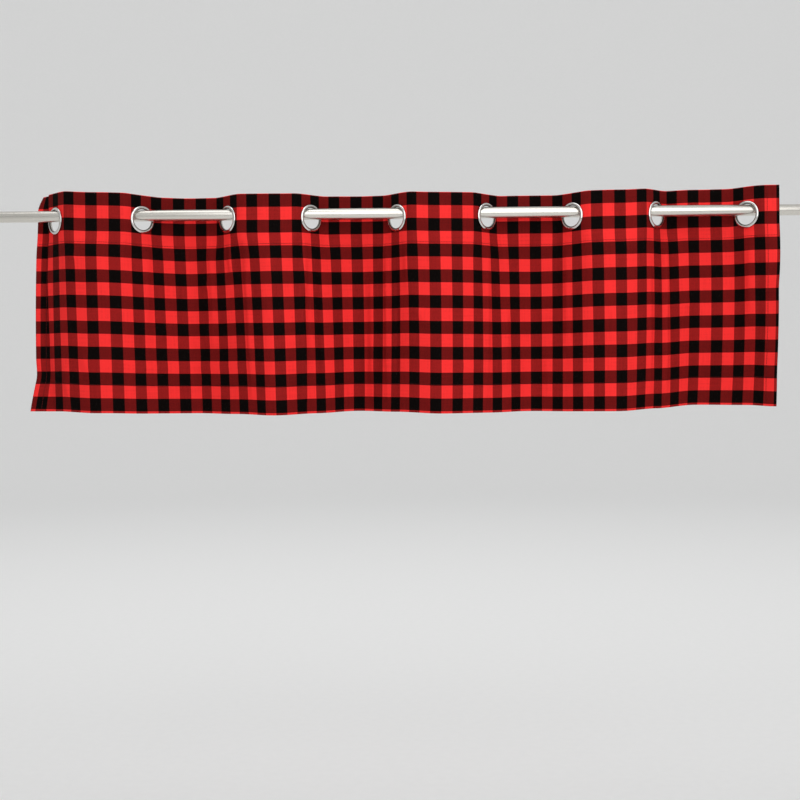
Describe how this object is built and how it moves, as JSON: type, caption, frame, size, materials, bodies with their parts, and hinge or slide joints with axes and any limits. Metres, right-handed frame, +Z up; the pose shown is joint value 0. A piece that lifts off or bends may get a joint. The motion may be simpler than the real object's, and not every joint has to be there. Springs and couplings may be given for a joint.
{
  "type": "window valance on curtain rod",
  "caption": "Short check valance gathered in soft folds, with metal eyelets in its heading threaded on a plain round curtain rod.",
  "frame": {"origin": "on the rod's axis, halfway along the rod", "axes": "+X along the rod to the right as seen from the room, +Y to the wall behind it, +Z up"},
  "size_m": [1.66, 0.1088, 0.4497],
  "materials": {
    "check_cloth": "plain weave in a red and black check",
    "satin_steel": "satin brushed metal tube",
    "polished_nickel": "polished nickel plate"
  },
  "bodies": {
    "root": {"valance_panel": "check_cloth", "curtain_rod": "satin_steel", "eyelet_front_1": "polished_nickel", "eyelet_front_2": "polished_nickel", "eyelet_front_3": "polished_nickel", "eyelet_front_4": "polished_nickel", "eyelet_front_5": "polished_nickel", "eyelet_front_6": "polished_nickel", "eyelet_front_7": "polished_nickel", "eyelet_front_8": "polished_nickel", "eyelet_front_9": "polished_nickel", "eyelet_back_1": "polished_nickel", "eyelet_back_2": "polished_nickel", "eyelet_back_3": "polished_nickel", "eyelet_back_4": "polished_nickel", "eyelet_back_5": "polished_nickel", "eyelet_back_6": "polished_nickel", "eyelet_back_7": "polished_nickel", "eyelet_back_8": "polished_nickel", "eyelet_back_9": "polished_nickel"}
  },
  "joints": []
}
